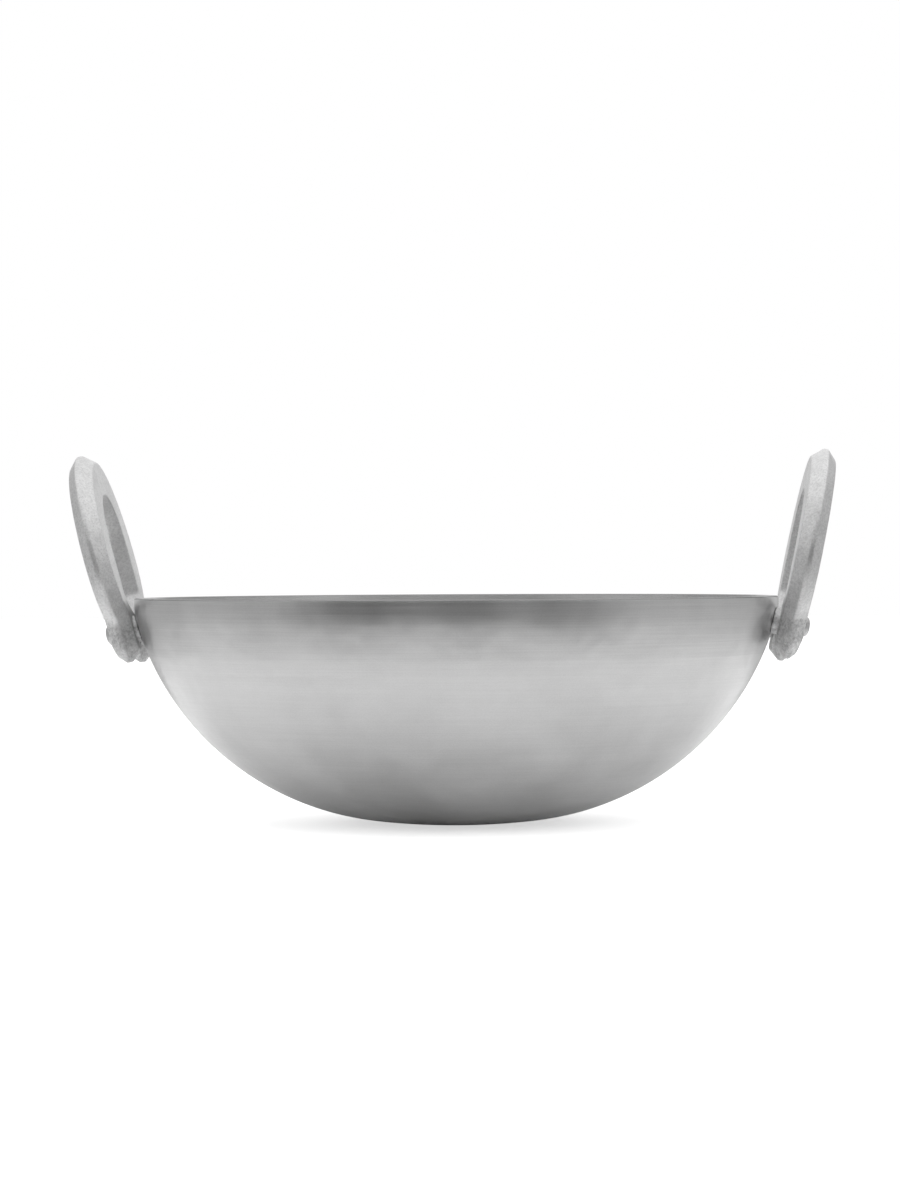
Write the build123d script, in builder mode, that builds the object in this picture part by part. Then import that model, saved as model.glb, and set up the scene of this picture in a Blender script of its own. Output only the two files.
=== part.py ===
from build123d import *
from math import acos, atan, cos, degrees, hypot, radians, sin, sqrt
import os

# Kadai: a round-bottomed pan with two cast loop handles, each held by two rivets.
# Origin: centre of the small flat under the bowl. +Z is up, the handles stand at -X and +X.
# All lengths are in millimetres, and the angles that are named here are in degrees.

# Bowl: its side is three tangent arcs, named crown, belly and shoulder, with a band on top.
# Each end angle is the slope of the side where one arc passes into the next.
rim_diameter = 280.0
bowl_height = 98.6
wall = 3.5
base_flat_depth = 0.42
crown_end_angle = 7.1
belly_end_angle = 73.5
shoulder_radius = 33.2
band_height = 2.0
rim_rounding = 0.6

# Handle casting, seen square on: flat front and back, and between them an outer edge of two
# facets that slope up to a narrow ridge, the front one rounded into the front face.
# Rises and drops are counted along the casting from its seat, where it comes nearest the wall.
handle_thickness = 11.0
facet_width = 4.4
back_facet_depth = 5.1
ridge_land = 1.8
front_facet_rounding = 2.0
back_facet_rounding = 0.5
loop_width = 93.8
loop_rise = 78.2
widest_rise = 30.5
loop_crown_angle = 45.0
neck_width = 62.6
neck_rise = 2.7
neck_rounding = 8.0
toe_span = 66.0
toe_drop = 15.4
toe_outer_rounding = 9.0
toe_inner_rounding = 6.0
toe_arch_width = 30.0
toe_arch_rise = 6.5
toe_slope_angle = 12.0
toe_slope_clearance = 0.3

# Finger hole, at its narrowest half-way through the casting
hole_width = 48.6
hole_top_rise = 58.1
hole_bottom_rise = 4.7
hole_corner_rise = 13.6
hole_corner_rounding = 6.0
hole_ridge = 0.8
hole_edge_rounding = 0.6

# Round pad behind each toe, which fills the space between the casting and the bowl
pad_diameter = 11.5

# How each handle is set: the seat's drop below the rim, the lean from upright, the askew by
# which the front side stands higher, the level distance from the wall to the casting's back at
# the rivets, and the drop of the rivets below the seat
seat_drop = 11.7
left_lean_angle = 15.2
left_askew_angle = 1.5
left_stand_off = 1.15
left_rivet_drop = 2.0
right_lean_angle = 11.7
right_askew_angle = 2.9
right_stand_off = 2.5
right_rivet_drop = 0.3

# Rivets
rivet_spacing = 40.0
shank_diameter = 5.0
shank_clearance = 0.1
head_diameter = 8.8
head_height = 2.2
tail_diameter = 8.0
tail_height = 1.6

# How far pads and bores run on past the face that they have to reach
overrun = 2.0

# Times that a search along a rivet halves its span
halvings = 40


def arc_radii(across, up, joint, end):
    """Radii of two tangent arcs that start level, meet at one slope and end at another."""
    first = (sin(joint), 1 - cos(joint))
    second = (sin(end) - sin(joint), cos(joint) - cos(end))
    determinant = first[0] * second[1] - second[0] * first[1]
    return (
        (across * second[1] - up * second[0]) / determinant,
        (up * first[0] - across * first[1]) / determinant,
    )


# Bowl profile, with the arcs of the inner face on the same centres as those of the outer face
quarter_turn = radians(90)
crown_end = radians(crown_end_angle)
belly_end = radians(belly_end_angle)
rim_radius = rim_diameter / 2
shoulder_centre = (rim_radius - shoulder_radius, bowl_height - band_height)
crown_radius, belly_radius = arc_radii(
    shoulder_centre[0] + shoulder_radius * sin(belly_end),
    shoulder_centre[1] - shoulder_radius * cos(belly_end) + base_flat_depth,
    crown_end,
    belly_end,
)
crown_centre = (0, crown_radius - base_flat_depth)
belly_centre = (
    (crown_radius - belly_radius) * sin(crown_end),
    crown_centre[1] - (crown_radius - belly_radius) * cos(crown_end),
)
crown_start = acos(crown_centre[1] / crown_radius)
base_flat_radius = crown_radius * sin(crown_start)


def profile_arc(centre, radius, start, end):
    """Arc of the bowl's profile between two angles counted from straight down."""
    places = []
    for angle in (start, (start + end) / 2, end):
        places.append((centre[0] + radius * sin(angle), centre[1] - radius * cos(angle)))
    return ThreePointArc(*places)


def bowl_side(inset, start):
    """Crown, belly, shoulder and band of one face of the wall, drawn from the bottom up."""
    crown = profile_arc(crown_centre, crown_radius - inset, start, crown_end)
    profile_arc(belly_centre, belly_radius - inset, crown_end, belly_end)
    profile_arc(shoulder_centre, shoulder_radius - inset, belly_end, quarter_turn)
    Line((rim_radius - inset, shoulder_centre[1]), (rim_radius - inset, bowl_height))
    return crown


# The full body of the bowl without its hollow, which shapes the backs of the handles
with BuildPart() as bowl_envelope:
    with BuildSketch(Plane.XZ):
        with BuildLine():
            bowl_side(0, crown_start)
            Polyline((rim_radius, bowl_height), (0, bowl_height), (0, 0), (base_flat_radius, 0))
        make_face()
    revolve(axis=Axis.Z)

with BuildPart() as bowl_blank:
    with BuildSketch(Plane.XZ) as wall_section:
        with BuildLine():
            bowl_side(0, crown_start)
            inner_crown = bowl_side(wall, 0)
            Line((rim_radius, bowl_height), (rim_radius - wall, bowl_height))
            Polyline((base_flat_radius, 0), (0, 0), inner_crown @ 0)
        make_face()
        fillet(wall_section.vertices().group_by(Axis.Y)[-1], radius=rim_rounding)
    revolve(axis=Axis.Z)


def wall_radius(height, inset):
    """Radius at a height of a face of the wall that lies so far in from the outer one."""
    if height > shoulder_centre[1]:
        return rim_radius - inset
    centre = shoulder_centre
    radius = shoulder_radius - inset
    if height < shoulder_centre[1] - radius * cos(belly_end):
        centre = belly_centre
        radius = belly_radius - inset
    return centre[0] + sqrt(radius**2 - (centre[1] - height) ** 2)


def handle_plane(side, lean_angle, askew_angle, stand_off):
    """Plane of a handle's back face: across the pan, up the handle, and outwards."""
    lean = radians(lean_angle)
    seat_height = bowl_height - seat_drop
    wall_place = sqrt(wall_radius(seat_height, 0) ** 2 - half_spacing**2)
    square = Plane(
        origin=(side * (wall_place + stand_off), 0, seat_height),
        x_dir=(0, side, 0),
        z_dir=(side * cos(lean), 0, -sin(lean)),
    )
    return Plane(square.location * Rotation(0, 0, -side * askew_angle))


def depth_to_wall(back, across, rise, inset):
    """Distance from a place on a handle's back face to a face of the wall, square to the back."""
    near = 0
    far = shoulder_radius
    for _ in range(halvings):
        middle = (near + far) / 2
        place = back.from_local_coords(Vector(across, rise, -middle))
        if hypot(place.X, place.Y) > wall_radius(place.Z, inset):
            near = middle
        else:
            far = middle
    return near


# Handle outline
half_thickness = handle_thickness / 2
half_loop = loop_width / 2
half_spacing = rivet_spacing / 2
loop_crown = radians(loop_crown_angle)
loop_crown_radius, loop_side_radius = arc_radii(
    half_loop, loop_rise - widest_rise, loop_crown, quarter_turn
)
front_facet_depth = handle_thickness - ridge_land - back_facet_depth
hole_taper = degrees(atan(hole_ridge / half_thickness))
bore_radius = shank_diameter / 2 + shank_clearance


def outer_outline():
    """Right half of the ridge of the V-shaped edge, from the top down to the arch, mirrored."""
    crown_joint = (
        loop_crown_radius * sin(loop_crown),
        loop_rise - loop_crown_radius * (1 - cos(loop_crown)),
    )
    widest = (half_loop, widest_rise)
    neck = (neck_width / 2, neck_rise)
    arch_foot = (toe_arch_width / 2, -toe_drop)
    TangentArc((0, loop_rise), crown_joint, tangent=(1, 0))
    TangentArc(widest, crown_joint, tangent=(0, 1))
    TangentArc(widest, neck, tangent=(0, -1))
    Polyline(neck, (toe_span / 2, -toe_drop), arch_foot)
    TangentArc((0, toe_arch_rise - toe_drop), arch_foot, tangent=(1, 0))
    mirror(about=Plane.YZ)


def hole_outline():
    """Right half of the finger hole: arched top, straight side and shallow bottom, mirrored."""
    half_hole = hole_width / 2
    spring = (half_hole, hole_top_rise - half_hole)
    corner = (half_hole, hole_corner_rise)
    TangentArc((0, hole_top_rise), spring, tangent=(1, 0))
    Line(spring, corner)
    TangentArc((0, hole_bottom_rise), corner, tangent=(1, 0))
    mirror(about=Plane.YZ)


def cast_handle(back, rivet_drop):
    """Cast loop handle on the plane of its back face, its pads cut to the bowl they sit on."""
    middle = back.offset(half_thickness)
    slope_drop = rivet_drop + head_diameter / 2 + toe_slope_clearance
    slope_start = Location((0, -slope_drop, handle_thickness))
    toe_slope = Plane(back.location * slope_start * Rotation(toe_slope_angle, 0, 0))
    pad_depth = depth_to_wall(back, half_spacing, -rivet_drop - pad_diameter, 0)
    with BuildPart() as casting:
        with BuildSketch(middle) as outline:
            with BuildLine():
                outer_outline()
            make_face()
            necks = outline.vertices().group_by(Axis.Y)[1]
            fillet(necks, radius=neck_rounding)
            toe_corners = outline.vertices().group_by(Axis.Y)[0].sort_by(Axis.X)
            fillet(toe_corners[1:3], radius=toe_inner_rounding)
            toe_corners = outline.vertices().group_by(Axis.Y)[0].sort_by(Axis.X)
            fillet([toe_corners[0], toe_corners[-1]], radius=toe_outer_rounding)
        extrude(amount=half_thickness, both=True)
        faces = casting.faces().sort_by(Axis(back.origin, back.z_dir))
        for flat, depth in ((faces[0], back_facet_depth), (faces[-1], front_facet_depth)):
            chamfer(flat.edges(), length=facet_width, length2=depth, reference=flat)
        faces = casting.faces().sort_by(Axis(back.origin, back.z_dir))
        fillet(faces[0].edges(), radius=back_facet_rounding)
        fillet(faces[-1].edges(), radius=front_facet_rounding)
        split(bisect_by=toe_slope, keep=Keep.BOTTOM)

        with BuildSketch(middle) as hole:
            with BuildLine():
                hole_outline()
            make_face()
            fillet(hole.vertices().group_by(Axis.Y)[0], radius=hole_corner_rounding)
        extrude(amount=half_thickness, both=True, taper=-hole_taper, mode=Mode.SUBTRACT)
        faces = casting.faces().sort_by(Axis(back.origin, back.z_dir))
        hole_edges = faces[0].inner_wires()[0].edges() + faces[-1].inner_wires()[0].edges()
        fillet(hole_edges, radius=hole_edge_rounding)

        with BuildSketch(back):
            with Locations((half_spacing, -rivet_drop), (-half_spacing, -rivet_drop)):
                Circle(pad_diameter / 2)
        extrude(amount=-pad_depth - overrun)
        add(bowl_envelope.part, mode=Mode.SUBTRACT)
        with Locations(back.offset(handle_thickness)):
            with Locations((half_spacing, -rivet_drop), (-half_spacing, -rivet_drop)):
                Hole(radius=bore_radius)
    return casting


def set_rivet(back, across, rivet_drop):
    """Domed rivet through toe, pad and wall, its tail spread against the inner face."""
    depth = depth_to_wall(back, across, -rivet_drop, wall)
    foot = back.from_local_coords(Vector(across, -rivet_drop, 0))
    head_seat = (head_diameter / 2, handle_thickness)
    tail_edge = (tail_diameter / 2, -depth)
    tail_tip = (0, -depth - tail_height)
    with BuildPart() as rivet:
        with BuildSketch(Plane(foot, x_dir=back.x_dir, z_dir=-back.y_dir)):
            with BuildLine():
                TangentArc((0, handle_thickness + head_height), head_seat, tangent=(1, 0))
                Polyline(
                    head_seat,
                    (shank_diameter / 2, handle_thickness),
                    (shank_diameter / 2, wall / 2 - depth),
                    (tail_diameter / 2, wall / 2 - depth),
                    tail_edge,
                )
                TangentArc(tail_tip, tail_edge, tangent=(1, 0))
                Line(tail_tip, (0, handle_thickness + head_height))
            make_face()
        revolve(axis=Axis(foot, back.z_dir))
        add(bowl.part, mode=Mode.SUBTRACT)
    return rivet


left_back = handle_plane(-1, left_lean_angle, left_askew_angle, left_stand_off)
right_back = handle_plane(1, right_lean_angle, right_askew_angle, right_stand_off)

with BuildPart() as bowl:
    add(bowl_blank.part)
    for back, rivet_drop in ((left_back, left_rivet_drop), (right_back, right_rivet_drop)):
        wall_depth = depth_to_wall(back, half_spacing, -rivet_drop, wall)
        with Locations(back.offset(handle_thickness)):
            with Locations((half_spacing, -rivet_drop), (-half_spacing, -rivet_drop)):
                Hole(radius=bore_radius, depth=handle_thickness + wall_depth + overrun)

pieces = {
    "bowl": bowl,
    "left_handle": cast_handle(left_back, left_rivet_drop),
    "right_handle": cast_handle(right_back, right_rivet_drop),
    "left_front_rivet": set_rivet(left_back, half_spacing, left_rivet_drop),
    "left_rear_rivet": set_rivet(left_back, -half_spacing, left_rivet_drop),
    "right_front_rivet": set_rivet(right_back, -half_spacing, right_rivet_drop),
    "right_rear_rivet": set_rivet(right_back, half_spacing, right_rivet_drop),
}

os.makedirs("parts", exist_ok=True)
for name, piece in pieces.items():
    piece.part.label = name
    export_step(piece.part, f"parts/{name}.step")
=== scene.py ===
import math

import bmesh
import bpy
from bpy.props import FloatProperty, FloatVectorProperty, IntProperty, PointerProperty
from mathutils import Matrix, Vector


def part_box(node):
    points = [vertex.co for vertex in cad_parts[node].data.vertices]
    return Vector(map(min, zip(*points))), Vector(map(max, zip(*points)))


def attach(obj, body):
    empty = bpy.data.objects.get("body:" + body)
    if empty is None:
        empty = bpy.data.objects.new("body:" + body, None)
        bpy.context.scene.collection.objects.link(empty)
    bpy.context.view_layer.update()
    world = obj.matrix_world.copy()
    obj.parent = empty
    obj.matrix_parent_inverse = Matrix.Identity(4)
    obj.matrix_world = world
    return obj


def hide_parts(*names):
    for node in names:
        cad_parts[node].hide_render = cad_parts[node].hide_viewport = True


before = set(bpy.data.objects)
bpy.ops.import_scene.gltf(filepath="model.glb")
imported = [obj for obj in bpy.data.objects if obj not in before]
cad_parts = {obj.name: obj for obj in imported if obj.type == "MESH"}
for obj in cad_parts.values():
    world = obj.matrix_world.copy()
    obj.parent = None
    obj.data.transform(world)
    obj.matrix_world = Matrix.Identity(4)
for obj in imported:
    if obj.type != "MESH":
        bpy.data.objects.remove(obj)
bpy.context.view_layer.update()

bl_info = {
    "name": "Kadai",
    "version": (1, 0, 0),
    "blender": (4, 5, 0),
    "location": "View3D > Sidebar > Kadai",
    "description": "Round-bottomed spun aluminium pan with two riveted cast loop handles",
    "category": "Object",
}

BOWL_LOW, BOWL_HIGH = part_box("bowl")
HANDLES = ("left_handle", "right_handle")
RIVETS = ("left_front_rivet", "left_rear_rivet", "right_front_rivet", "right_rear_rivet")
MILLIMETRE = 0.001
WHITE = (1.0, 1.0, 1.0, 1.0)

# Layout of the node trees
NODES_IN_COLUMN, COLUMN_WIDTH, ROW_HEIGHT = 8, 200, 160

# Middle of a noise's range, where most of its values lie
NOISE_LOW, NOISE_HIGH = 0.3, 0.7

# Turned noise: rings per metre over the profile, stretch round the bowl, detail, roughness
TURNING_MARKS = (2600.0, 2.5, 3.0, 0.6)
TURNING_RINGS = (620.0, 1.2, 2.0, 0.5)
TURNING_WAVES = (90.0, 1.6, 2.0, 0.5)
SMEARS = (36.0, 5.0, 3.0, 0.5)

# Noise: patches per metre, detail, roughness
CLOUDS = (21.0, 3.0, 0.55)
SPECKLE = (1700.0, 2.0, 0.6)
FOOT_EDGE = (260.0, 3.0, 0.6)
FOOT_SKIN = (560.0, 4.0, 0.65)
SAND_GRAIN = (1050.0, 4.0, 0.7)
SAND_LUMPS = (320.0, 3.0, 0.6)
SAND_PATCHES = (55.0, 3.0, 0.6)
RIVET_GRAIN = (1300.0, 4.0, 0.65)
RIVET_DENTS = (420.0, 2.0, 0.5)
RIVET_GRIME = (180.0, 3.0, 0.6)
PITS_PER_METRE = 900.0

# How far each layer swings the bowl's shade, and its dullness, either way
MARK_SHADE, BAND_SHADE, SPECKLE_SHADE, CLOUD_SHADE, SMEAR_SHADE = 0.034, 0.026, 0.025, 0.065, 0.018
CLOUD_DULLNESS, BAND_DULLNESS = 0.04, 0.025

# Shares of the height over which the turning marks grow, and of the waves in the swell
UPPER_SIDE, WAVE_SHARE = (0.55, 0.85), 0.06

# The marks draw a gleam out across them, a quarter of a turn from the tangent
QUARTER_TURN = 0.25

# The once more turned band ends in a faint step, above which the side is a little darker: partly its
# finish, partly painted shade for the dark reflection under the rim.
# The cut rim's top is painted much darker than the sheet: painted shade for the dark line along it.
FINISH_EDGE, FINISH_AND_PAINTED_SHADE, PAINTED_RIM_SHADE = 0.3 * MILLIMETRE, 0.955, 0.48

# The feet's skin ends in a ragged edge of this height and blur
FOOT_EDGE_HEIGHT, FOOT_EDGE_BLUR = 4.0 * MILLIMETRE, 0.4 * MILLIMETRE

# Where pits form: their reach in their cells, and the patches that stay sound
PIT_REACH, SOUND_PATCHES = (0.05, 0.28), (0.5, 0.62)

# Shade of the castings at the low and the high end of each layer, which for the feet is added to 1
GRAIN_SHADES, PATCH_SHADES, PIT_SHADES = (0.88, 1.10), (0.94, 1.05), (0.76, 1.0)
FOOT_SKIN_RANGE, FOOT_SHADES = (0.34, 0.66), (-0.20, 0.06)
# Convex edges are darkened: painted shade that draws the dark lines between the facets
PAINTED_EDGE_SHADE_CURVE, PAINTED_EDGE_SHADES = (0.515, 0.545), (1.0, 0.9)

# Dullness of the castings: swing of the lumps, extra on the feet; and lumps there and elsewhere
LUMP_DULLNESS, FOOT_DULLNESS = 0.06, 0.10
FOOT_LUMPS = (0.3, 0.6)

# Shade and dullness of the rivets
RIVET_GRAIN_SHADES, GRIME_RANGE, GRIME_SHADES = (0.88, 1.08), (0.35, 0.65), (0.82, 1.04)
DENT_DULLNESS = 0.08

# Bumps: strength, height
SWELL_BUMP, RING_BUMP = (0.7, 3.0 * MILLIMETRE), (0.2, 0.04 * MILLIMETRE)
MARK_BUMP = (0.25, 0.02 * MILLIMETRE)
LUMP_BUMP, PIT_BUMP = (0.35, 0.4 * MILLIMETRE), (0.4, 0.16 * MILLIMETRE)
GRAIN_BUMP = (0.7, 0.16 * MILLIMETRE)
DENT_BUMP, RIVET_GRAIN_BUMP = (0.5, 0.3 * MILLIMETRE), (0.5, 0.1 * MILLIMETRE)

# Relief of the castings: its height's name, patches per metre, detail, roughness
SKIN_LAYERS = (
    ("Lump Height", 130.0, 2.0, 0.5),
    ("Grain Height", 700.0, 3.0, 0.5),
    ("Foot Grain Height", 380.0, 3.0, 0.5),
)

# Noise that stays at the solid's face, so that the relief goes inwards, and the feet's fade
SKIN_LEVEL, FOOT_FADE = 0.62, 2.5 * MILLIMETRE

# Rivets: points and fullness of a dome, faces round, and rounds of work on finding an axis
DOME_POINTS, DOME_POWER, RIVET_SEGMENTS, AXIS_ROUNDS = 14, 2.4, 48, 60

# Dents of the rivets: number per metre, detail and roughness, level at the face
DENTS_PER_METRE, DENT_DETAIL, DENT_LEVEL = 420.0, (1.0, 0.5), 0.75

# Angle from which a rivet's edges stay hard
RIVET_HARD_EDGE = math.radians(50)

# Inputs of the geometry trees that aren't plain numbers
SOCKET_KINDS = {"Geometry": "NodeSocketGeometry", "Segments": "NodeSocketInt"}

# Points along the arcs of the bowl's profile
CROWN_POINTS, BELLY_POINTS, SHOULDER_POINTS, RIM_POINTS, INNER_CROWN_POINTS = 12, 56, 12, 7, 16

# Meshes: what counts as one point, as no length, and the circle that a profile is swept along
MERGE_DISTANCE, SLIVER, SWEEP_RADIUS = 0.004 * MILLIMETRE, 0.0005 * MILLIMETRE, 1.0

# Stage: half the floor, soft edge of the table, how far forward the room's front passes into its
# sides, and the wall's reach, height, steps and angles in degrees
FLOOR_HALF, TABLE_EDGE = 6.0, 0.01
ROOM_FADE = (-0.9, -0.3)
WALL_REACH, WALL_HEIGHT, WALL_STEPS, WALL_START, WALL_SWEEP = 1.6, 1.05, 48, -242, 304

# Lamps: name, place, point that they face, size
OVERHEAD_LAMP = ("overhead_lamp", (0.0, -0.2, 1.3), (0.0, -0.1, 0.0), (2.2, 2.0))
SIDE_LAMPS = (
    ("left_lamp", (-1.2, 0.4, 1.1), (0.0, 0.0, 0.08), (0.9, 0.9)),
    ("right_lamp", (1.2, 0.4, 1.1), (0.0, 0.0, 0.08), (0.9, 0.9)),
)


# Settings

class BowlSettings(bpy.types.PropertyGroup):
    """Sizes and finish of the spun bowl"""

    rim_diameter: FloatProperty(
        name="Rim Diameter", description="Outer diameter of the rim",
        default=BOWL_HIGH.x - BOWL_LOW.x, unit="LENGTH")
    height: FloatProperty(
        name="Height", description="From the base flat up to the rim",
        default=BOWL_HIGH.z - BOWL_LOW.z, unit="LENGTH")
    wall: FloatProperty(
        name="Wall", description="Thickness of the sheet", default=3.5 * MILLIMETRE, unit="LENGTH")
    base_flat_depth: FloatProperty(
        name="Base Flat Depth", description="How much of the crown the base flat cuts off",
        default=0.42 * MILLIMETRE, unit="LENGTH")
    crown_end: FloatProperty(
        name="Crown End", description="Slope of the side where the flat crown passes into the belly",
        default=math.radians(7.1), subtype="ANGLE")
    belly_end: FloatProperty(
        name="Belly End", description="Slope of the side where the belly passes into the shoulder",
        default=math.radians(73.5), subtype="ANGLE")
    shoulder_radius: FloatProperty(
        name="Shoulder Radius", description="Radius of the side just under the rim band",
        default=33.2 * MILLIMETRE, unit="LENGTH")
    band_height: FloatProperty(
        name="Band Height", description="Height of the upright band at the rim",
        default=2.0 * MILLIMETRE, unit="LENGTH")
    rim_rounding: FloatProperty(
        name="Rim Rounding", description="Rounding of the two edges of the cut rim",
        default=0.6 * MILLIMETRE, unit="LENGTH")
    finish_share: FloatProperty(
        name="Finish Share", description="Share of the height above which the side was turned once more",
        default=0.75, min=0.0, max=1.0, subtype="FACTOR")
    segments: IntProperty(
        name="Segments", description="Faces round the bowl", default=224, min=24)
    colour: FloatVectorProperty(
        name="Colour", description="Colour of the spun sheet", subtype="COLOR", size=4,
        default=(0.71, 0.71, 0.71, 1.0), min=0.0, max=1.0)
    roughness: FloatProperty(
        name="Roughness", description="Dullness of the spun sheet", default=0.36, min=0.0, max=1.0)
    anisotropy: FloatProperty(
        name="Anisotropy", description="How much the turning marks draw a gleam out across them",
        default=0.75, min=0.0, max=1.0)


class HandleSettings(bpy.types.PropertyGroup):
    """Sizes and finish of the cast handles"""

    skin_voxel: FloatProperty(
        name="Skin Voxel", description="Size of the faces that carry the cast skin",
        default=0.43 * MILLIMETRE, unit="LENGTH")
    lump_height: FloatProperty(
        name="Lump Height", description="Height of the broad unevenness of the casting",
        default=0.10 * MILLIMETRE, unit="LENGTH")
    grain_height: FloatProperty(
        name="Grain Height", description="Height of the sand grain",
        default=0.05 * MILLIMETRE, unit="LENGTH")
    foot_grain_height: FloatProperty(
        name="Foot Grain Height", description="Extra height of the rough skin on the feet",
        default=0.12 * MILLIMETRE, unit="LENGTH")
    foot_top: FloatProperty(
        name="Foot Top", description="Height above the base flat where the rough skin of the feet ends",
        default=87.5 * MILLIMETRE, unit="LENGTH")
    foot_top_tilt: FloatProperty(
        name="Foot Top Tilt", description="Rise of the rough skin's end per metre towards the right",
        default=0.0078)
    colour: FloatVectorProperty(
        name="Colour", description="Colour of the casting", subtype="COLOR", size=4,
        default=(0.80, 0.80, 0.80, 1.0), min=0.0, max=1.0)
    roughness: FloatProperty(
        name="Roughness", description="Dullness of the casting", default=0.56, min=0.0, max=1.0)


class RivetSettings(bpy.types.PropertyGroup):
    """Sizes and finish of the rivets"""

    head_diameter: FloatProperty(
        name="Head Diameter", description="Diameter of the domed head",
        default=8.8 * MILLIMETRE, unit="LENGTH")
    head_height: FloatProperty(
        name="Head Height", description="Height of the domed head",
        default=2.2 * MILLIMETRE, unit="LENGTH")
    shank_diameter: FloatProperty(
        name="Shank Diameter", description="Diameter of the shank",
        default=5.0 * MILLIMETRE, unit="LENGTH")
    tail_diameter: FloatProperty(
        name="Tail Diameter", description="Diameter of the tail spread inside the bowl",
        default=8.0 * MILLIMETRE, unit="LENGTH")
    tail_height: FloatProperty(
        name="Tail Height", description="Height of the spread tail",
        default=1.6 * MILLIMETRE, unit="LENGTH")
    dent_depth: FloatProperty(
        name="Dent Depth", description="Depth of the marks that the rivet set leaves",
        default=0.12 * MILLIMETRE, unit="LENGTH")
    colour: FloatVectorProperty(
        name="Colour", description="Colour of the rivets", subtype="COLOR", size=4,
        default=(0.72, 0.72, 0.72, 1.0), min=0.0, max=1.0)
    roughness: FloatProperty(
        name="Roughness", description="Dullness of the rivets", default=0.44, min=0.0, max=1.0)


class StageSettings(bpy.types.PropertyGroup):
    """Floor, lamps and camera"""

    floor_colour: FloatVectorProperty(
        name="Floor Colour", description="Colour of the floor", subtype="COLOR", size=4,
        default=(0.92, 0.92, 0.92, 1.0), min=0.0, max=1.0)
    floor_lift: FloatProperty(
        name="Floor Lift", description="Light added to the floor where the camera sees it, up to white",
        default=0.6, min=0.0)
    table_radius: FloatProperty(
        name="Table Radius", description="Reach of the bright round table that the metal reflects",
        default=0.37, unit="LENGTH")
    table_width: FloatProperty(
        name="Table Width", description="How far the bright table reaches to each side",
        default=0.31, unit="LENGTH")
    table_back: FloatProperty(
        name="Table Back", description="How far behind the pan's axis the table's centre lies",
        default=0.11, unit="LENGTH")
    ambient: FloatProperty(
        name="Ambient", description="Even light from all round", default=0.85, min=0.0)
    overhead_glow: FloatProperty(
        name="Overhead Glow", description="Brightness of the soft lamp over the pan",
        default=0.7, min=0.0)
    side_glow: FloatProperty(
        name="Side Glow", description="Brightness of the soft lamps beside the pan",
        default=0.3, min=0.0)
    room_front: FloatProperty(
        name="Room Front", description="Brightness of the room behind the camera", default=0.14, min=0.0)
    room_side: FloatProperty(
        name="Room Side", description="Brightness of the room beside the pan", default=0.5, min=0.0)
    camera_distance: FloatProperty(
        name="Camera Distance", description="Level distance from the bowl's axis to the camera",
        default=1.522, unit="LENGTH")
    camera_height: FloatProperty(
        name="Camera Height", description="Height of the camera above the base flat",
        default=0.1119, unit="LENGTH")
    camera_azimuth: FloatProperty(
        name="Camera Azimuth", description="How far round the camera stands to the right of the front",
        default=math.radians(2.25), subtype="ANGLE")
    camera_yaw: FloatProperty(
        name="Camera Yaw", description="How far to the left of the bowl's axis the camera looks",
        default=math.radians(0.097), subtype="ANGLE")
    camera_pitch: FloatProperty(
        name="Camera Pitch", description="How far below level the camera looks",
        default=math.radians(0.554), subtype="ANGLE")
    camera_roll: FloatProperty(
        name="Camera Roll", description="How far the camera leans to its left",
        default=math.radians(-0.268), subtype="ANGLE")
    focal_length: FloatProperty(
        name="Focal Length", description="Lens of the camera, in millimetres on a 36 mm wide frame",
        default=139.44)


# Node helpers

def fill(tree, node, inputs):
    """Gives a node's inputs their values, or links outputs to them."""
    for key, value in inputs.items():
        if isinstance(value, bpy.types.NodeSocket):
            tree.links.new(value, node.inputs[key])
        else:
            node.inputs[key].default_value = value


def add_node(tree, kind, inputs=None, **properties):
    """A node with its properties and inputs, laid out in columns in the order of making."""
    column, row = divmod(len(tree.nodes), NODES_IN_COLUMN)
    node = tree.nodes.new(kind)
    node.location = (column * COLUMN_WIDTH, -row * ROW_HEIGHT)
    for name, value in properties.items():
        setattr(node, name, value)
    fill(tree, node, inputs or {})
    return node


def output_of(tree, kind, inputs=None, **properties):
    """First output of a new node."""
    return add_node(tree, kind, inputs, **properties).outputs[0]


def point_of(tree, parts):
    """Output of a point whose three parts are numbers or outputs."""
    return output_of(tree, "ShaderNodeCombineXYZ", dict(enumerate(parts)))


def parts_of(tree, point):
    """Outputs of the three parts of a point."""
    return add_node(tree, "ShaderNodeSeparateXYZ", {0: point}).outputs


def math_of(tree, operation, *values, clamp=False):
    """Output of a math node whose inputs are numbers or outputs."""
    return output_of(
        tree, "ShaderNodeMath", dict(enumerate(values)), operation=operation, use_clamp=clamp)


def ramp_of(tree, value, low, high, bottom=0.0, top=1.0):
    """Output of a smooth step from one value to another."""
    return output_of(tree, "ShaderNodeMapRange", {
        "Value": value, "From Min": low, "From Max": high, "To Min": bottom, "To Max": top,
    }, interpolation_type="SMOOTHSTEP")


def swing_of(tree, noise, bottom, top):
    """Output that goes from one value to another over the middle of a noise's range."""
    return ramp_of(tree, noise, NOISE_LOW, NOISE_HIGH, bottom, top)


def noise_of(tree, point, scale, detail, roughness, turn=None):
    """Factor of a noise texture, in four dimensions where a fourth coordinate is given."""
    node = add_node(tree, "ShaderNodeTexNoise", {
        "Vector": point, "Scale": scale, "Detail": detail, "Roughness": roughness,
    }, noise_dimensions="3D" if turn is None else "4D")
    if turn is not None:
        fill(tree, node, {"W": turn})
    return node.outputs["Fac"]


def tint_of(tree, colour, value):
    """A colour made lighter or darker by a number."""
    inputs = {0: tuple(colour)[:3], "Scale": value}
    return output_of(tree, "ShaderNodeVectorMath", inputs, operation="SCALE")


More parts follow.
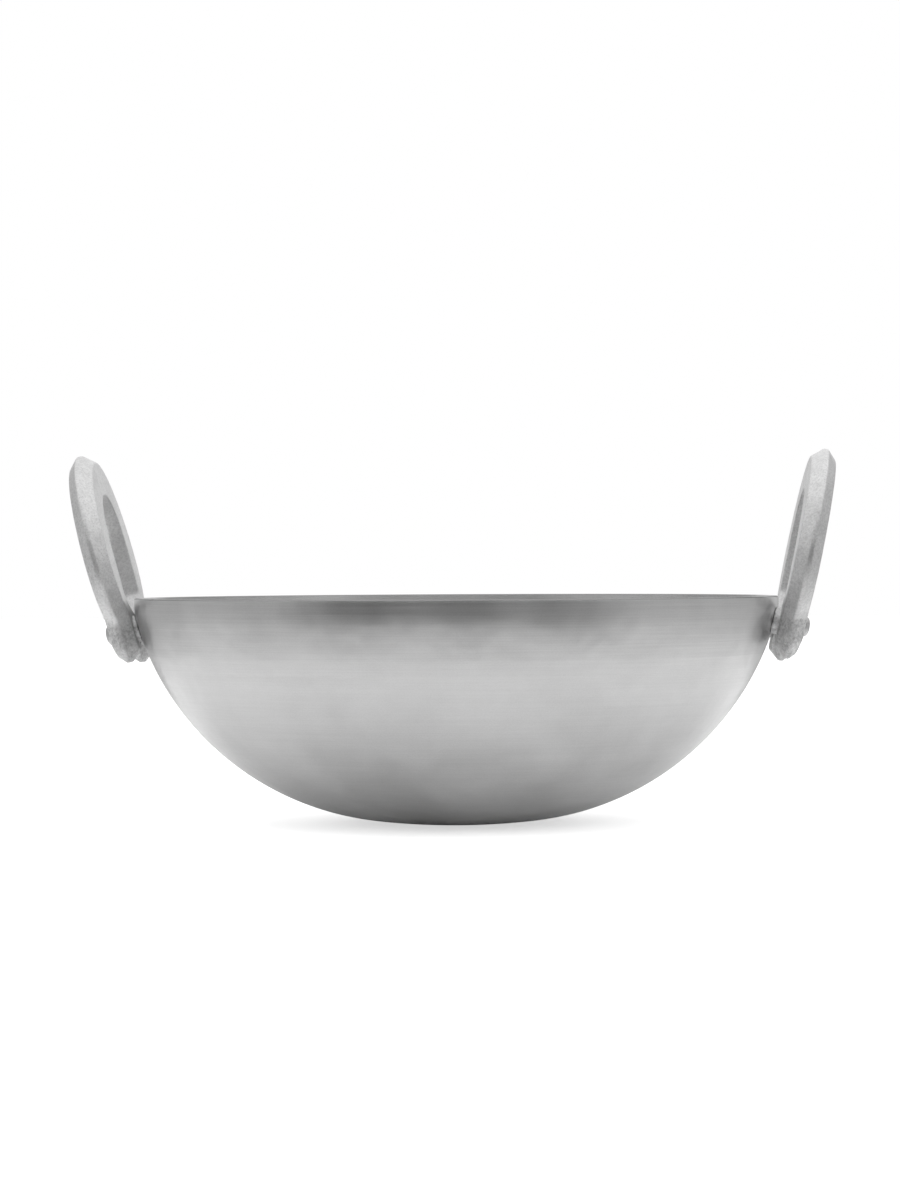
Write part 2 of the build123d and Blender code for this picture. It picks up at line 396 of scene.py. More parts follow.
def bump_of(tree, height, strength, distance, below=None):
    """Normal of a bump, laid over another one where it is given."""
    node = add_node(tree, "ShaderNodeBump", {
        "Height": height, "Strength": strength, "Distance": distance})
    if below is not None:
        fill(tree, node, {"Normal": below})
    return node.outputs["Normal"]


def empty_material(name):
    """An empty material with its tree, its output and the place on the piece."""
    material = bpy.data.materials.new(name)
    material.use_nodes = True
    tree = material.node_tree
    tree.nodes.clear()
    output = add_node(tree, "ShaderNodeOutputMaterial")
    place = add_node(tree, "ShaderNodeTexCoord").outputs["Object"]
    return material, tree, output, place


def metal_material(name):
    """A material with its tree, its metal shader and the place on the piece."""
    material, tree, output, place = empty_material(name)
    metal = add_node(tree, "ShaderNodeBsdfPrincipled", {"Metallic": 1.0})
    fill(tree, output, {"Surface": metal.outputs["BSDF"]})
    return material, tree, metal, place


# Finishes

def turned_coordinates(tree, place):
    """Coordinates of the bowl's turning: distance from the axis, height, and the way round."""
    split = parts_of(tree, place)
    flat = point_of(tree, (split["X"], split["Y"], 0.0))
    length = add_node(tree, "ShaderNodeVectorMath", {0: flat}, operation="LENGTH")
    way = parts_of(tree, output_of(tree, "ShaderNodeVectorMath", {0: flat}, operation="NORMALIZE"))
    return {
        "radius": length.outputs["Value"],
        "height": split["Z"],
        "across": way["X"],
        "along": way["Y"],
    }


def turned_noise(tree, turned, rings, stretch, detail, roughness):
    """Noise drawn out round the bowl: rings per metre over the profile, stretch round it."""
    radius, height = (math_of(tree, "MULTIPLY", turned[part], rings) for part in ("radius", "height"))
    across, along = (math_of(tree, "MULTIPLY", turned[part], stretch) for part in ("across", "along"))
    return noise_of(tree, point_of(tree, (radius, height, across)), 1.0, detail, roughness, turn=along)


def spun_aluminium(settings):
    """Spun sheet: fine turning marks round the bowl, cloudy patches and faint smears."""
    material, tree, metal, place = metal_material("spun_aluminium")
    turned = turned_coordinates(tree, place)
    height = turned["height"]
    fine = turned_noise(tree, turned, *TURNING_MARKS)
    rings = turned_noise(tree, turned, *TURNING_RINGS)
    waves = turned_noise(tree, turned, *TURNING_WAVES)
    smears = turned_noise(tree, turned, *SMEARS)
    clouds = noise_of(tree, place, *CLOUDS)
    speckle = noise_of(tree, place, *SPECKLE)

    upper = ramp_of(tree, height, *(settings.height * share for share in UPPER_SIDE), 0.5, 1.0)
    marks = math_of(tree, "MULTIPLY", swing_of(tree, fine, -MARK_SHADE, MARK_SHADE), upper)
    bands = math_of(tree, "MULTIPLY", swing_of(tree, rings, -BAND_SHADE, BAND_SHADE), upper)
    shade = math_of(tree, "ADD", marks, bands)
    for layer, depth in ((speckle, SPECKLE_SHADE), (clouds, CLOUD_SHADE), (smears, SMEAR_SHADE)):
        shade = math_of(tree, "ADD", shade, swing_of(tree, layer, -depth, depth))
    shade = math_of(tree, "ADD", shade, 1.0)
    # Above the finish step the side is a little darker: partly its finish, partly painted shade
    finish_end = settings.height * settings.finish_share
    step = ramp_of(tree, height, finish_end - FINISH_EDGE, finish_end + FINISH_EDGE, 1.0, FINISH_AND_PAINTED_SHADE)
    # The rim's top is painted much darker: painted shade for the dark line along it
    rim = settings.height - settings.rim_rounding
    painted_rim_shade = ramp_of(tree, height, rim, rim + settings.rim_rounding / 2, 1.0, PAINTED_RIM_SHADE)
    shade = math_of(tree, "MULTIPLY", shade, math_of(tree, "MULTIPLY", step, painted_rim_shade))

    dull = swing_of(tree, clouds, -CLOUD_DULLNESS, CLOUD_DULLNESS)
    dull = math_of(tree, "ADD", dull, settings.roughness)
    dull = math_of(tree, "ADD", dull, swing_of(tree, rings, -BAND_DULLNESS, BAND_DULLNESS))

    broad = bump_of(tree, math_of(tree, "MULTIPLY_ADD", waves, WAVE_SHARE, clouds), *SWELL_BUMP)
    middle = bump_of(tree, rings, *RING_BUMP, below=broad)
    fill(tree, metal, {
        "Base Color": tint_of(tree, settings.colour, shade),
        "Roughness": dull,
        "Anisotropic": settings.anisotropy,
        "Anisotropic Rotation": QUARTER_TURN,
        "Tangent": output_of(tree, "ShaderNodeTangent", direction_type="RADIAL", axis="Z"),
        "Normal": bump_of(tree, fine, *MARK_BUMP, below=middle),
    })
    return material


def cast_aluminium(settings):
    """Sand-cast skin: grain and pits all over, rougher and mottled on the feet."""
    material, tree, metal, place = metal_material("cast_aluminium")
    split = parts_of(tree, place)
    level = math_of(tree, "MULTIPLY_ADD", split["X"], -settings.foot_top_tilt, split["Z"])
    edge = math_of(tree, "MULTIPLY_ADD", noise_of(tree, place, *FOOT_EDGE), FOOT_EDGE_HEIGHT, level)
    middle = settings.foot_top + FOOT_EDGE_HEIGHT / 2
    foot = ramp_of(tree, edge, middle - FOOT_EDGE_BLUR, middle + FOOT_EDGE_BLUR, 1.0, 0.0)

    grain = noise_of(tree, place, *SAND_GRAIN)
    lumps = noise_of(tree, place, *SAND_LUMPS)
    patches = noise_of(tree, place, *SAND_PATCHES)
    pits = add_node(tree, "ShaderNodeTexVoronoi", {
        "Vector": place, "Scale": PITS_PER_METRE, "Randomness": 1.0,
    }, feature="F1", distance="EUCLIDEAN")
    pit = ramp_of(tree, pits.outputs["Distance"], *PIT_REACH)
    pit = math_of(tree, "MAXIMUM", pit, ramp_of(tree, patches, *SOUND_PATCHES, 1.0, 0.0))

    mottle = ramp_of(tree, noise_of(tree, place, *FOOT_SKIN), *FOOT_SKIN_RANGE, *FOOT_SHADES)
    curve = add_node(tree, "ShaderNodeNewGeometry").outputs["Pointiness"]
    shade = swing_of(tree, grain, *GRAIN_SHADES)
    for layer in (
            swing_of(tree, patches, *PATCH_SHADES),
            ramp_of(tree, pit, 0.0, 1.0, *PIT_SHADES),
            math_of(tree, "MULTIPLY_ADD", foot, mottle, 1.0),
            # painted shade along the convex edges
            ramp_of(tree, curve, *PAINTED_EDGE_SHADE_CURVE, *PAINTED_EDGE_SHADES)):
        shade = math_of(tree, "MULTIPLY", shade, layer)

    dull = swing_of(tree, lumps, settings.roughness - LUMP_DULLNESS, settings.roughness + LUMP_DULLNESS)
    coarse = math_of(tree, "MULTIPLY", lumps, math_of(tree, "MULTIPLY_ADD", foot, *FOOT_LUMPS))
    broad = bump_of(tree, coarse, *LUMP_BUMP)
    middle = bump_of(tree, pit, *PIT_BUMP, below=broad)
    fill(tree, metal, {
        "Base Color": tint_of(tree, settings.colour, shade),
        "Roughness": math_of(tree, "MULTIPLY_ADD", foot, FOOT_DULLNESS, dull),
        "Normal": bump_of(tree, grain, *GRAIN_BUMP, below=middle),
    })
    return material


def set_rivet_aluminium(settings):
    """Rivet metal, dulled and marked by the set."""
    material, tree, metal, place = metal_material("rivet_aluminium")
    grain = noise_of(tree, place, *RIVET_GRAIN)
    dents = noise_of(tree, place, *RIVET_DENTS)
    grime = noise_of(tree, place, *RIVET_GRIME)
    shade = math_of(
        tree, "MULTIPLY", swing_of(tree, grain, *RIVET_GRAIN_SHADES),
        ramp_of(tree, grime, *GRIME_RANGE, *GRIME_SHADES))
    broad = bump_of(tree, dents, *DENT_BUMP)
    fill(tree, metal, {
        "Base Color": tint_of(tree, settings.colour, shade),
        "Roughness": swing_of(
            tree, dents, settings.roughness - DENT_DULLNESS, settings.roughness + DENT_DULLNESS),
        "Normal": bump_of(tree, grain, *RIVET_GRAIN_BUMP, below=broad),
    })
    return material


def room_glow(tree, place, settings):
    """Brightness of the dim room round the table, darkest behind the camera."""
    way = output_of(tree, "ShaderNodeVectorMath", {0: place}, operation="NORMALIZE")
    forward = parts_of(tree, way)["Y"]
    return ramp_of(tree, forward, *ROOM_FADE, settings.room_front, settings.room_side)


def mixed(tree, factor, first, second):
    """Output of a shader that goes from one to another by a factor."""
    return output_of(tree, "ShaderNodeMixShader", {"Fac": factor, 1: first, 2: second})


def even_glow(tree, kind, strength):
    """Output of a white emission or background."""
    return output_of(tree, kind, {"Color": WHITE, "Strength": strength})


def pale_floor(settings):
    """Pale floor that takes the shadow: white to the camera, and to the metal a table with an edge."""
    material, tree, output, place = empty_material("pale_floor")
    diffuse = output_of(tree, "ShaderNodeBsdfDiffuse", {"Color": settings.floor_colour})
    lift = even_glow(tree, "ShaderNodeEmission", settings.floor_lift)
    lifted = output_of(tree, "ShaderNodeAddShader", {0: diffuse, 1: lift})
    ray = add_node(tree, "ShaderNodeLightPath").outputs
    seen = mixed(tree, ray["Is Camera Ray"], diffuse, lifted)

    reach = settings.table_radius
    widen = (reach / settings.table_width, 1.0, 1.0)
    oval = output_of(tree, "ShaderNodeVectorMath", {0: place, 1: widen}, operation="MULTIPLY")
    centre = (0.0, settings.table_back, 0.0)
    away = add_node(tree, "ShaderNodeVectorMath", {0: oval, 1: centre}, operation="DISTANCE")
    beyond = ramp_of(tree, away.outputs["Value"], reach - TABLE_EDGE, reach + TABLE_EDGE)
    beyond = math_of(tree, "MULTIPLY", beyond, ray["Is Glossy Ray"])
    room = even_glow(tree, "ShaderNodeEmission", room_glow(tree, place, settings))
    fill(tree, output, {"Surface": mixed(tree, beyond, seen, room)})
    return material


def room_wall(settings):
    """Dim wall of the room round the table, open behind the pan."""
    material, tree, output, place = empty_material("room_wall")
    glow = even_glow(tree, "ShaderNodeEmission", room_glow(tree, place, settings))
    fill(tree, output, {"Surface": glow})
    return material


# Geometry Nodes

def new_tree(name, *inputs):
    """A geometry tree with named inputs and one geometry output."""
    tree = bpy.data.node_groups.new(name, "GeometryNodeTree")
    for label in inputs:
        kind = SOCKET_KINDS.get(label, "NodeSocketFloat")
        tree.interface.new_socket(label, in_out="INPUT", socket_type=kind)
    tree.interface.new_socket("Geometry", in_out="OUTPUT", socket_type="NodeSocketGeometry")
    source = add_node(tree, "NodeGroupInput")
    target = add_node(tree, "NodeGroupOutput")
    return tree, source, target


def run_tree(tree, values, name, material, seed_mesh=None):
    """Plain mesh object that a tree makes from named values."""
    host = bpy.data.objects.new(name + "_host", seed_mesh or bpy.data.meshes.new(name + "_seed"))
    bpy.context.scene.collection.objects.link(host)
    modifier = host.modifiers.new(tree.name, "NODES")
    modifier.node_group = tree
    for item in tree.interface.items_tree:
        if item.item_type == "SOCKET" and item.in_out == "INPUT" and item.name in values:
            modifier[item.identifier] = values[item.name]
    bpy.context.view_layer.update()
    graph = bpy.context.evaluated_depsgraph_get()
    mesh = bpy.data.meshes.new_from_object(host.evaluated_get(graph), depsgraph=graph)
    host.modifiers.remove(modifier)
    bpy.data.objects.remove(host)
    if not mesh.polygons:
        raise RuntimeError(f"the tree {tree.name} made no faces")
    mesh.name = name
    piece = bpy.data.objects.new(name, mesh)
    bpy.context.scene.collection.objects.link(piece)
    mesh.materials.clear()
    mesh.materials.append(material)
    return piece


def swept_arc(tree, radius, start, sweep, centre, resolution):
    """One arc of a profile, moved to its centre."""
    arc = output_of(tree, "GeometryNodeCurveArc", {
        "Resolution": resolution, "Radius": radius, "Start Angle": start, "Sweep Angle": sweep,
    }, mode="RADIUS")
    return output_of(tree, "GeometryNodeTransform", {
        "Geometry": arc, "Translation": point_of(tree, centre)})


def straight(tree, start, end):
    """One straight stretch of a profile between two points."""
    return output_of(tree, "GeometryNodeCurvePrimitiveLine", {
        "Start": point_of(tree, start), "End": point_of(tree, end)}, mode="POINTS")


def turned_body(tree, stretches, segments):
    """Turns the stretches of a profile about the Z axis and closes them into one shell.

    The profile sweeps along a circle far wider than itself, and is set back by that circle's radius.
    """
    profile = add_node(tree, "GeometryNodeJoinGeometry")
    for stretch in stretches:
        tree.links.new(stretch, profile.inputs[0])
    ring = output_of(tree, "GeometryNodeCurvePrimitiveCircle", {
        "Radius": SWEEP_RADIUS, "Resolution": segments}, mode="RADIUS")
    back = output_of(tree, "GeometryNodeTransform", {
        "Geometry": profile.outputs[0],
        "Translation": (-SWEEP_RADIUS, 0.0, 0.0),
        "Scale": (1.0, -1.0, 1.0)})
    turn = output_of(tree, "GeometryNodeCurveToMesh", {"Curve": ring, "Profile Curve": back})
    return output_of(tree, "GeometryNodeMergeByDistance", {
        "Geometry": turn, "Distance": MERGE_DISTANCE})


def finish_tree(tree, geometry, material, target):
    """Ends a tree: smooth shading, instances made real, and the material."""
    smooth = output_of(tree, "GeometryNodeSetShadeSmooth", {"Geometry": geometry})
    real = output_of(tree, "GeometryNodeRealizeInstances", {"Geometry": smooth})
    paint = output_of(tree, "GeometryNodeSetMaterial", {"Geometry": real, "Material": material})
    fill(tree, target, {"Geometry": paint})


def pushed(tree, geometry, depth):
    """A surface with each point pushed along its normal by a depth."""
    normal = output_of(tree, "GeometryNodeInputNormal")
    push = output_of(tree, "ShaderNodeVectorMath", {0: normal, "Scale": depth}, operation="SCALE")
    return output_of(tree, "GeometryNodeSetPosition", {"Geometry": geometry, "Offset": push})


def arc_radii(across, up, joint, end):
    """Radii of two tangent arcs that start level, meet at one slope and end at another."""
    first = (math.sin(joint), 1 - math.cos(joint))
    second = (math.sin(end) - math.sin(joint), math.cos(joint) - math.cos(end))
    determinant = first[0] * second[1] - second[0] * first[1]
    return (
        (across * second[1] - up * second[0]) / determinant,
        (up * first[0] - across * first[1]) / determinant,
    )


def bowl_tree(material):
    """Tree of the bowl: crown, belly, shoulder and band of both faces, turned about the axis."""
    tree, source, target = new_tree(
        "Bowl", "Rim Radius", "Height", "Wall", "Band Height", "Rim Rounding", "Crown Start",
        "Crown End", "Belly End", "Crown Radius", "Belly Radius", "Shoulder Radius",
        "Crown Centre Height", "Belly Centre Radius", "Belly Centre Height", "Segments")
    value = source.outputs
    quarter = math.pi / 2
    rounding = value["Rim Rounding"]

    def less(first, second):
        return math_of(tree, "SUBTRACT", first, second)

    crown_start, crown_end, belly_end = (
        less(value[name], quarter) for name in ("Crown Start", "Crown End", "Belly End"))
    shoulder_x = less(value["Rim Radius"], value["Shoulder Radius"])
    shoulder_z = less(value["Height"], value["Band Height"])
    flat_radius = math_of(
        tree, "MULTIPLY", value["Crown Radius"], math_of(tree, "SINE", value["Crown Start"]))
    top = less(value["Height"], rounding)
    outer_corner = less(value["Rim Radius"], rounding)
    inner_face = less(value["Rim Radius"], value["Wall"])
    inner_corner = math_of(tree, "ADD", inner_face, rounding)
    crown_centre = (0.0, value["Crown Centre Height"], 0.0)
    belly_centre = (value["Belly Centre Radius"], value["Belly Centre Height"], 0.0)
    shoulder_centre = (shoulder_x, shoulder_z, 0.0)
    outer = {name: value[name + " Radius"] for name in ("Crown", "Belly", "Shoulder")}
    inner = {name: less(radius, value["Wall"]) for name, radius in outer.items()}
    stretches = [
        straight(tree, (0.0, 0.0, 0.0), (flat_radius, 0.0, 0.0)),
        swept_arc(tree, outer["Crown"], crown_start, less(crown_end, crown_start),
                  crown_centre, CROWN_POINTS),
        swept_arc(tree, outer["Belly"], crown_end, less(belly_end, crown_end),
                  belly_centre, BELLY_POINTS),
        swept_arc(tree, outer["Shoulder"], belly_end, less(0.0, belly_end),
                  shoulder_centre, SHOULDER_POINTS),
        straight(tree, (value["Rim Radius"], shoulder_z, 0.0), (value["Rim Radius"], top, 0.0)),
        swept_arc(tree, rounding, 0.0, quarter, (outer_corner, top, 0.0), RIM_POINTS),
        straight(tree, (outer_corner, value["Height"], 0.0), (inner_corner, value["Height"], 0.0)),
        swept_arc(tree, rounding, quarter, quarter, (inner_corner, top, 0.0), RIM_POINTS),
        straight(tree, (inner_face, top, 0.0), (inner_face, shoulder_z, 0.0)),
        swept_arc(tree, inner["Shoulder"], 0.0, belly_end, shoulder_centre, SHOULDER_POINTS),
        swept_arc(tree, inner["Belly"], belly_end, less(crown_end, belly_end),
                  belly_centre, BELLY_POINTS),
        swept_arc(tree, inner["Crown"], crown_end, less(-quarter, crown_end),
                  crown_centre, INNER_CROWN_POINTS),
    ]
    finish_tree(tree, turned_body(tree, stretches, value["Segments"]), material, target)
    return tree


def outward(mesh):
    """Merges what meets, turns the faces outwards and shades them smooth."""
    work = bmesh.new()
    work.from_mesh(mesh)
    bmesh.ops.remove_doubles(work, verts=work.verts, dist=MERGE_DISTANCE)
    bmesh.ops.dissolve_degenerate(work, edges=work.edges, dist=SLIVER)
    bmesh.ops.recalc_face_normals(work, faces=work.faces)
    if work.calc_volume(signed=True) < 0:
        bmesh.ops.reverse_faces(work, faces=work.faces)
    for face in work.faces:
        face.smooth = True
    work.to_mesh(mesh)
    work.free()


def dome(tree, radius, height, grip=None):
    """Profile of a domed head from its axis to its edge, or of a tail below a grip."""
    line = output_of(tree, "GeometryNodeMeshLine", {
        "Count": DOME_POINTS, "Offset": (1.0 / (DOME_POINTS - 1), 0.0, 0.0)}, mode="OFFSET")
    curve = output_of(tree, "GeometryNodeMeshToCurve", {"Mesh": line})
    share = parts_of(tree, output_of(tree, "GeometryNodeInputPosition"))["X"]
    fall = math_of(tree, "SUBTRACT", 1.0, math_of(tree, "POWER", share, DOME_POWER), clamp=True)
    up = math_of(tree, "MULTIPLY", math_of(tree, "SQRT", fall), height)
    if grip is not None:
        up = math_of(tree, "MULTIPLY", math_of(tree, "ADD", up, grip), -1.0)
    across = math_of(tree, "MULTIPLY", share, radius)
    return output_of(tree, "GeometryNodeSetPosition", {
        "Geometry": curve, "Position": point_of(tree, (across, up, 0.0))})


def rivet_tree(material):
    """Tree of the rivets: one turned about its axis and one copy set at each point of the seed mesh."""
    tree, source, target = new_tree(
        "Rivets", "Geometry", "Head Radius", "Head Height", "Shank Radius", "Tail Radius",
        "Tail Height", "Grip", "Dent Depth", "Dent Scale", "Segments")
    value = source.outputs
    head, shank, tail = (value[name + " Radius"] for name in ("Head", "Shank", "Tail"))
    low = math_of(tree, "MULTIPLY", value["Grip"], -1.0)
    rivet = turned_body(tree, [
        dome(tree, head, value["Head Height"]),
        dome(tree, tail, value["Tail Height"], value["Grip"]),
        straight(tree, (head, 0.0, 0.0), (shank, 0.0, 0.0)),
        straight(tree, (shank, 0.0, 0.0), (shank, low, 0.0)),
        straight(tree, (shank, low, 0.0), (tail, low, 0.0)),
    ], value["Segments"])

    turn = add_node(
        tree, "GeometryNodeInputNamedAttribute", {"Name": "turn"}, data_type="FLOAT_VECTOR")
    copies = output_of(tree, "GeometryNodeInstanceOnPoints", {
        "Points": value["Geometry"], "Instance": rivet, "Rotation": turn.outputs["Attribute"]})
    real = output_of(tree, "GeometryNodeRealizeInstances", {"Geometry": copies})
    place = output_of(tree, "GeometryNodeInputPosition")
    dents = noise_of(tree, place, value["Dent Scale"], *DENT_DETAIL)
    depth = math_of(tree, "SUBTRACT", dents, DENT_LEVEL)
    depth = math_of(tree, "MULTIPLY", depth, value["Dent Depth"])
    finish_tree(tree, pushed(tree, real, depth), material, target)
    return tree


def skin_tree(material):
    """Tree of the cast skin: pushes a casting's faces in by lumps, grain and rough feet."""
    tree, source, target = new_tree(
        "Cast Skin", "Geometry", "Lump Height", "Grain Height", "Foot Grain Height", "Foot Top")
    value = source.outputs
    place = output_of(tree, "GeometryNodeInputPosition")
    layers = []
    for label, *noise in SKIN_LAYERS:
        swing = math_of(tree, "SUBTRACT", noise_of(tree, place, *noise), SKIN_LEVEL)
        layers.append(math_of(tree, "MULTIPLY", swing, value[label]))
    lumps, grain, foot_grain = layers
    below = math_of(tree, "SUBTRACT", value["Foot Top"], parts_of(tree, place)["Z"])
    foot = math_of(tree, "MULTIPLY", below, 1.0 / FOOT_FADE, clamp=True)
    foot_grain = math_of(tree, "MULTIPLY", foot_grain, foot)
    depth = math_of(tree, "ADD", math_of(tree, "ADD", lumps, grain), foot_grain)
    finish_tree(tree, pushed(tree, value["Geometry"], depth), material, target)
    return tree


# Pieces

class KADAI_OT_bowl(bpy.types.Operator):
    """Makes the spun bowl from its profile"""

    bl_idname = "kadai.bowl"
    bl_label = "Bowl"

    def execute(self, context):
        settings = context.scene.kadai_bowl
        rim_radius = settings.rim_diameter / 2
        shoulder = (rim_radius - settings.shoulder_radius, settings.height - settings.band_height)
        across = shoulder[0] + settings.shoulder_radius * math.sin(settings.belly_end)
        up = shoulder[1] - settings.shoulder_radius * math.cos(settings.belly_end)
        up += settings.base_flat_depth
        crown_radius, belly_radius = arc_radii(across, up, settings.crown_end, settings.belly_end)
        crown_height = crown_radius - settings.base_flat_depth
        between = crown_radius - belly_radius
        material = spun_aluminium(settings)
        bowl = run_tree(bowl_tree(material), {
            "Rim Radius": rim_radius,
            "Height": settings.height,
            "Wall": settings.wall,
            "Band Height": settings.band_height,
            "Rim Rounding": settings.rim_rounding,
            "Crown Start": math.acos(crown_height / crown_radius),
            "Crown End": settings.crown_end,
            "Belly End": settings.belly_end,
            "Crown Radius": crown_radius,
            "Belly Radius": belly_radius,
            "Shoulder Radius": settings.shoulder_radius,
            "Crown Centre Height": crown_height,
            "Belly Centre Radius": between * math.sin(settings.crown_end),
            "Belly Centre Height": crown_height - between * math.cos(settings.crown_end),
            "Segments": settings.segments,
        }, "spun_bowl", material)
        outward(bowl.data)
        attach(bowl, "root")
        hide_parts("bowl")
        return {"FINISHED"}


class KADAI_OT_handles(bpy.types.Operator):
    """Gives both castings their sand-cast skin"""

    bl_idname = "kadai.handles"
    bl_label = "Handles"

    def execute(self, context):
        settings = context.scene.kadai_handles
        material = cast_aluminium(settings)
        tree = skin_tree(material)
        for name in HANDLES:
            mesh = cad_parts[name].data.copy()
            outward(mesh)
            blank = bpy.data.objects.new(name + "_blank", mesh)
            context.scene.collection.objects.link(blank)
            remesh = blank.modifiers.new("Skin", "REMESH")
            remesh.mode = "VOXEL"
            remesh.voxel_size = settings.skin_voxel
            remesh.use_smooth_shade = True
            context.view_layer.update()
            graph = context.evaluated_depsgraph_get()
            skin = bpy.data.meshes.new_from_object(blank.evaluated_get(graph), depsgraph=graph)
            bpy.data.objects.remove(blank)
            if not skin.polygons:
                raise RuntimeError(f"{name} lost its faces")
            casting = run_tree(tree, {
                "Lump Height": settings.lump_height,
                "Grain Height": settings.grain_height,
                "Foot Grain Height": settings.foot_grain_height,
                "Foot Top": settings.foot_top,
            }, name + "_casting", material, seed_mesh=skin)
            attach(casting, "root")
            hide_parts(name)
        return {"FINISHED"}


def rivet_line(name):
    """Middle, direction towards the head and reach each way of one rivet, read from its node."""
    points = [vertex.co.copy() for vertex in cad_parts[name].data.vertices]
    middle = sum(points, Vector()) / len(points)
    spread = Matrix(((0.0,) * 3,) * 3)
    for point in points:
        offset = point - middle
        for row in range(3):
            for column in range(3):
                spread[row][column] += offset[row] * offset[column]
    axis = Vector((math.copysign(1.0, middle.x), 0.0, 0.0))
    for _ in range(AXIS_ROUNDS):
        axis = (spread @ axis).normalized()
    if axis.x * middle.x < 0:
        axis = -axis
    along = [(point - middle).dot(axis) for point in points]
    return middle, axis, min(along), max(along)


class KADAI_OT_rivets(bpy.types.Operator):
    """Sets the four rivets through toes and wall"""

    bl_idname = "kadai.rivets"
    bl_label = "Rivets"

    def execute(self, context):
        settings = context.scene.kadai_rivets
        material = set_rivet_aluminium(settings)
        seats, turns, grips = [], [], []
        for name in RIVETS:
            middle, axis, low, high = rivet_line(name)
            seats.append(middle + axis * (high - settings.head_height))
            turns.append(axis.to_track_quat("Z", "Y").to_euler())
            grips.append(high - low - settings.head_height - settings.tail_height)
        seed = bpy.data.meshes.new("rivet_seats")
        seed.from_pydata(seats, [], [])
        turn = seed.attributes.new("turn", "FLOAT_VECTOR", "POINT")
        for item, value in zip(turn.data, turns):
            item.vector = value
        rivets = run_tree(rivet_tree(material), {
            "Head Radius": settings.head_diameter / 2,
            "Head Height": settings.head_height,
            "Shank Radius": settings.shank_diameter / 2,
            "Tail Radius": settings.tail_diameter / 2,
            "Tail Height": settings.tail_height,
            "Grip": sum(grips) / len(grips),
            "Dent Depth": settings.dent_depth,
            "Dent Scale": DENTS_PER_METRE,
            "Segments": RIVET_SEGMENTS,
        }, "set_rivets", material, seed_mesh=seed)
        outward(rivets.data)
        rivets.data.set_sharp_from_angle(angle=RIVET_HARD_EDGE)
        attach(rivets, "root")
        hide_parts(*RIVETS)
        return {"FINISHED"}


def soft_lamp(name, place, target, size, glow):
    """Soft lamp of an even brightness that faces a point and that no metal reflects."""
    lamp = bpy.data.lights.new(name, "AREA")
    lamp.shape = "RECTANGLE"
    lamp.size, lamp.size_y = size
    lamp.energy = glow * math.pi * size[0] * size[1]
    holder = bpy.data.objects.new(name, lamp)
    holder.location = place
    holder.rotation_euler = (Vector(target) - Vector(place)).to_track_quat("-Z", "Y").to_euler()
    holder.visible_glossy = False
    bpy.context.scene.collection.objects.link(holder)


def stage_mesh(name, points, faces, material):
    """A piece of the stage, which isn't part of the pan."""
    mesh = bpy.data.meshes.new(name)
    mesh.from_pydata(points, [], faces)
    mesh.materials.append(material)
    piece = bpy.data.objects.new(name, mesh)
    bpy.context.scene.collection.objects.link(piece)
    return piece


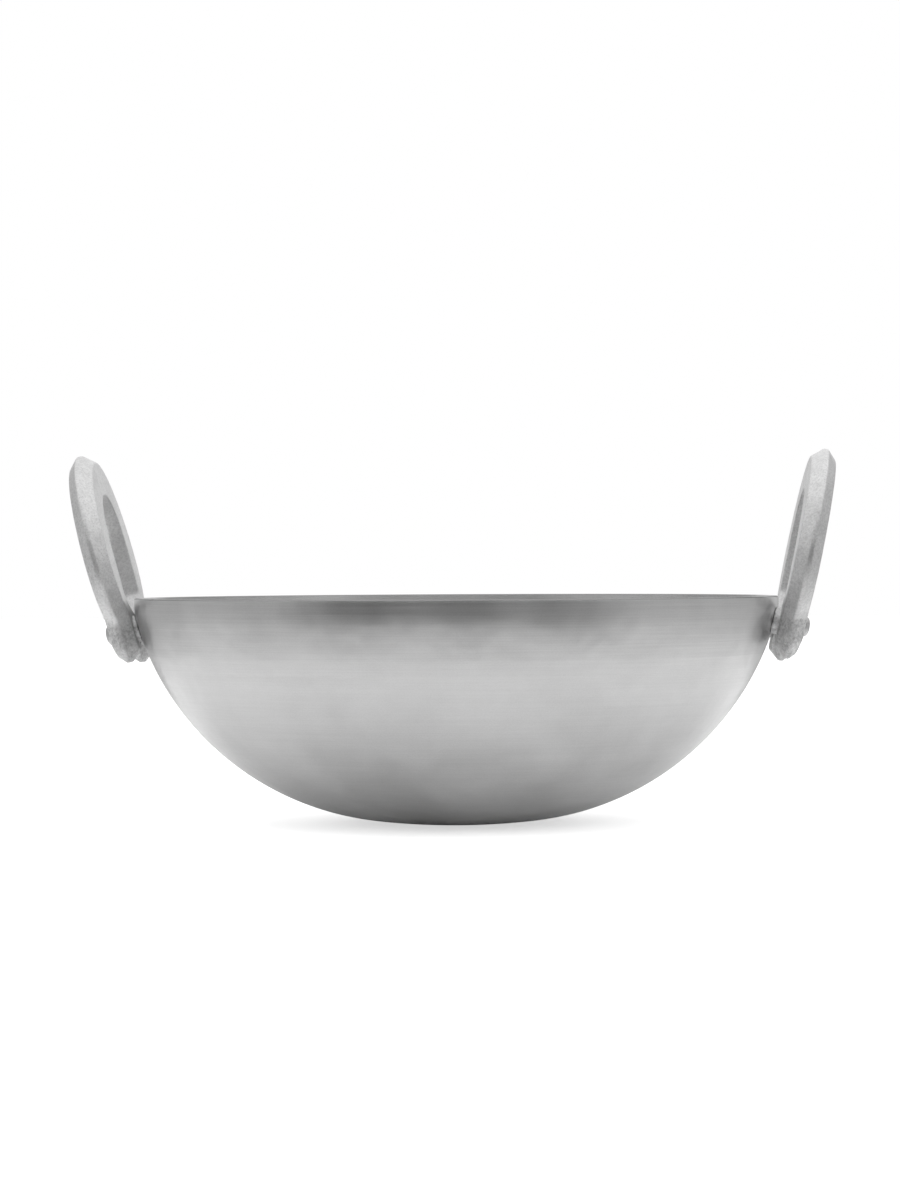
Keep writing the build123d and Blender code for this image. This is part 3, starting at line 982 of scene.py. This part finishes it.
class KADAI_OT_stage(bpy.types.Operator):
    """Lays the pale floor, hangs the lamps and sets up the camera"""

    bl_idname = "kadai.stage"
    bl_label = "Stage"

    def execute(self, context):
        settings = context.scene.kadai_stage
        scene = context.scene
        corners = [(x * FLOOR_HALF, y * FLOOR_HALF, 0.0) for x, y in ((-1, -1), (1, -1), (1, 1), (-1, 1))]
        stage_mesh("floor", corners, [(0, 1, 2, 3)], pale_floor(settings))

        points = []
        for step in range(WALL_STEPS + 1):
            turn = math.radians(WALL_START + WALL_SWEEP * step / WALL_STEPS)
            points += [(WALL_REACH * math.cos(turn), WALL_REACH * math.sin(turn), level)
                       for level in (0.0, WALL_HEIGHT)]
        faces = [(2 * step, 2 * step + 2, 2 * step + 3, 2 * step + 1) for step in range(WALL_STEPS)]
        wall = stage_mesh("room", points, faces, room_wall(settings))
        wall.visible_camera = False
        wall.visible_diffuse = False
        wall.visible_shadow = False
        wall.visible_transmission = False

        soft_lamp(*OVERHEAD_LAMP, settings.overhead_glow)
        for lamp in SIDE_LAMPS:
            soft_lamp(*lamp, settings.side_glow)

        world = bpy.data.worlds.new("studio")
        world.use_nodes = True
        tree = world.node_tree
        tree.nodes.clear()
        output = add_node(tree, "ShaderNodeOutputWorld")
        even = even_glow(tree, "ShaderNodeBackground", settings.ambient)
        white = even_glow(tree, "ShaderNodeBackground", 1.0)
        ray = add_node(tree, "ShaderNodeLightPath").outputs
        seen = math_of(tree, "ADD", ray["Is Camera Ray"], ray["Is Glossy Ray"])
        seen = math_of(tree, "ADD", seen, ray["Is Transmission Ray"], clamp=True)
        fill(tree, output, {"Surface": mixed(tree, seen, even, white)})
        scene.world = world

        lens = bpy.data.cameras.new("camera")
        lens.sensor_fit = "HORIZONTAL"
        lens.sensor_width = 36.0
        lens.lens = settings.focal_length
        lens.clip_start = 0.01
        lens.clip_end = 50.0
        camera = bpy.data.objects.new("camera", lens)
        scene.collection.objects.link(camera)
        azimuth = settings.camera_azimuth
        turn = azimuth + settings.camera_yaw
        level = Vector((-math.sin(turn), math.cos(turn), 0.0))
        upright = Vector((0.0, 0.0, 1.0))
        pitch, roll = settings.camera_pitch, settings.camera_roll
        look = level * math.cos(pitch) - upright * math.sin(pitch)
        straight_right = look.cross(upright).normalized()
        straight_up = straight_right.cross(look)
        right = straight_right * math.cos(roll) + straight_up * math.sin(roll)
        up = straight_up * math.cos(roll) - straight_right * math.sin(roll)
        place = Vector((math.sin(azimuth), -math.cos(azimuth), 0.0)) * settings.camera_distance
        place.z = settings.camera_height
        camera.matrix_world = Matrix((
            (right.x, up.x, -look.x, place.x),
            (right.y, up.y, -look.y, place.y),
            (right.z, up.z, -look.z, place.z),
            (0.0, 0.0, 0.0, 1.0)))
        scene.camera = camera
        scene.view_settings.view_transform = "Standard"
        return {"FINISHED"}


class KADAI_PT_panel(bpy.types.Panel):
    """Lists the steps that make the pan"""

    bl_idname = "KADAI_PT_panel"
    bl_label = "Kadai"
    bl_space_type = "VIEW_3D"
    bl_region_type = "UI"
    bl_category = "Kadai"

    def draw(self, context):
        for operator in OPERATORS:
            self.layout.operator(operator.bl_idname)


OPERATORS = (KADAI_OT_bowl, KADAI_OT_handles, KADAI_OT_rivets, KADAI_OT_stage)
SETTINGS = {
    "kadai_bowl": BowlSettings,
    "kadai_handles": HandleSettings,
    "kadai_rivets": RivetSettings,
    "kadai_stage": StageSettings,
}


def register():
    for name, group in SETTINGS.items():
        bpy.utils.register_class(group)
        setattr(bpy.types.Scene, name, PointerProperty(type=group))
    for kind in (*OPERATORS, KADAI_PT_panel):
        bpy.utils.register_class(kind)


def unregister():
    for kind in reversed((*OPERATORS, KADAI_PT_panel)):
        bpy.utils.unregister_class(kind)
    for name, group in SETTINGS.items():
        delattr(bpy.types.Scene, name)
        bpy.utils.unregister_class(group)


def main():
    register()
    bpy.ops.kadai.bowl()
    bpy.ops.kadai.handles()
    bpy.ops.kadai.rivets()
    bpy.ops.kadai.stage()


if __name__ == "__main__":
    main()
